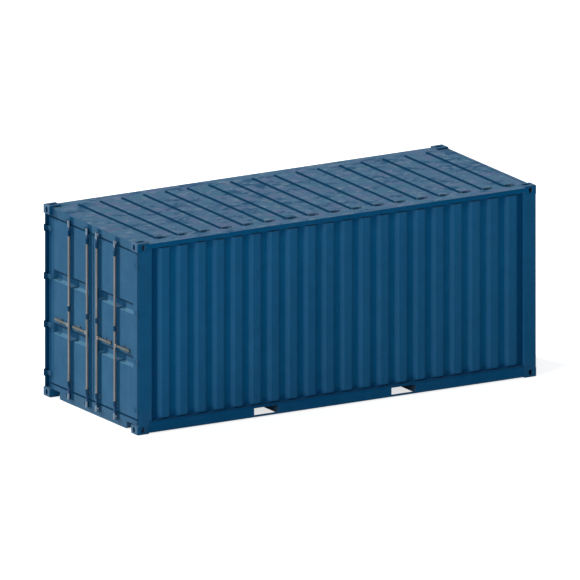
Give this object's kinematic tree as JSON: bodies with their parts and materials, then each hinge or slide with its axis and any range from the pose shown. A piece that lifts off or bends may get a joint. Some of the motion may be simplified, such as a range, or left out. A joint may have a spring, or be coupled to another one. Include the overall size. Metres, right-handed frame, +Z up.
{
  "type": "shipping container",
  "caption": "Corrugated steel cargo container on corner castings, with fork pockets and two swinging end doors held by vertical lock rods with flat lift-up handles.",
  "frame": {"origin": "on the ground under the middle of the box", "axes": "+X from the door end towards the closed front end, +Y towards the side that is on the left for a person who faces the doors, +Z up"},
  "size_m": [6.058, 2.438, 2.591],
  "materials": {
    "casting_paint": "weathered blue paint",
    "post_paint": "weathered blue paint",
    "rail_paint": "weathered blue paint with rust specks",
    "wall_paint": "weathered blue paint",
    "roof_paint": "faded, dusty blue paint",
    "floor_plywood": "oiled plywood",
    "underframe_paint": "dark blue paint",
    "door_frame_paint": "weathered blue paint",
    "keeper_paint": "dark blue paint",
    "hinge_paint": "weathered blue paint",
    "door_paint": "weathered blue paint",
    "seal_rubber": "matt black",
    "guide_paint": "dark blue paint over zinc",
    "rest_paint": "worn blue paint with pink primer",
    "rod_zinc": "galvanised",
    "handle_zinc": "galvanised, rusty at the hub"
  },
  "bodies": {
    "container": {"bottom_castings": "casting_paint", "top_castings": "casting_paint", "left_door_post": "post_paint", "right_door_post": "post_paint", "left_front_post": "post_paint", "right_front_post": "post_paint", "left_bottom_side_rail": "rail_paint", "right_bottom_side_rail": "rail_paint", "left_top_side_rail": "rail_paint", "right_top_side_rail": "rail_paint", "front_bottom_rail": "rail_paint", "front_top_rail": "rail_paint", "left_side_wall": "wall_paint", "right_side_wall": "wall_paint", "front_wall": "wall_paint", "roof_panel": "roof_paint", "floor_boards": "floor_plywood", "cross_members": "underframe_paint", "fork_pockets": "underframe_paint", "door_sill": "door_frame_paint", "door_header": "door_frame_paint", "sill_keepers": "keeper_paint", "header_keepers": "keeper_paint", "left_hinge_lugs": "hinge_paint", "right_hinge_lugs": "hinge_paint"},
    "left_door": {"left_door_leaf": "door_paint", "left_door_gasket": "seal_rubber", "left_hinge_blades": "hinge_paint", "left_rod_guides": "guide_paint", "left_handle_rests": "rest_paint"},
    "right_door": {"right_door_leaf": "door_paint", "right_door_gasket": "seal_rubber", "right_hinge_blades": "hinge_paint", "right_rod_guides": "guide_paint", "right_handle_rests": "rest_paint"},
    "left_outer_rod": {"left_outer_lock_rod": "rod_zinc"},
    "left_outer_lever": {"left_outer_handle": "handle_zinc"},
    "left_inner_rod": {"left_inner_lock_rod": "rod_zinc"},
    "left_inner_lever": {"left_inner_handle": "handle_zinc"},
    "right_outer_rod": {"right_outer_lock_rod": "rod_zinc"},
    "right_outer_lever": {"right_outer_handle": "handle_zinc"},
    "right_inner_rod": {"right_inner_lock_rod": "rod_zinc"},
    "right_inner_lever": {"right_inner_handle": "handle_zinc"}
  },
  "joints": [
    {"name": "left_door_hinge", "type": "hinge", "parent": "container", "child": "left_door", "pos_m": [-3.017, 1.205, 1.31], "axis": [0, 0, -1], "range_deg": [0, 250]},
    {"name": "left_outer_rod_turn", "type": "hinge", "parent": "left_door", "child": "left_outer_rod", "pos_m": [-3.005, 0.593, 1.291], "axis": [0, 0, -1], "range_deg": [-100, 0]},
    {"name": "left_outer_handle_lift", "type": "hinge", "parent": "left_outer_rod", "child": "left_outer_lever", "pos_m": [-3.005, 0.63, 1.084], "axis": [1, 0, 0], "range_deg": [0, 15]},
    {"name": "left_inner_rod_turn", "type": "hinge", "parent": "left_door", "child": "left_inner_rod", "pos_m": [-3.005, 0.125, 1.291], "axis": [0, 0, -1], "range_deg": [-100, 0]},
    {"name": "left_inner_handle_lift", "type": "hinge", "parent": "left_inner_rod", "child": "left_inner_lever", "pos_m": [-3.005, 0.162, 1.084], "axis": [1, 0, 0], "range_deg": [0, 15]},
    {"name": "right_door_hinge", "type": "hinge", "parent": "container", "child": "right_door", "pos_m": [-3.017, -1.205, 1.31], "axis": [0, 0, 1], "range_deg": [0, 250]},
    {"name": "right_outer_rod_turn", "type": "hinge", "parent": "right_door", "child": "right_outer_rod", "pos_m": [-3.005, -0.593, 1.291], "axis": [0, 0, 1], "range_deg": [-100, 0]},
    {"name": "right_outer_handle_lift", "type": "hinge", "parent": "right_outer_rod", "child": "right_outer_lever", "pos_m": [-3.005, -0.63, 1.084], "axis": [-1, 0, 0], "range_deg": [0, 15]},
    {"name": "right_inner_rod_turn", "type": "hinge", "parent": "right_door", "child": "right_inner_rod", "pos_m": [-3.005, -0.125, 1.291], "axis": [0, 0, 1], "range_deg": [-100, 0]},
    {"name": "right_inner_handle_lift", "type": "hinge", "parent": "right_inner_rod", "child": "right_inner_lever", "pos_m": [-3.005, -0.162, 1.084], "axis": [-1, 0, 0], "range_deg": [0, 15]}
  ]
}
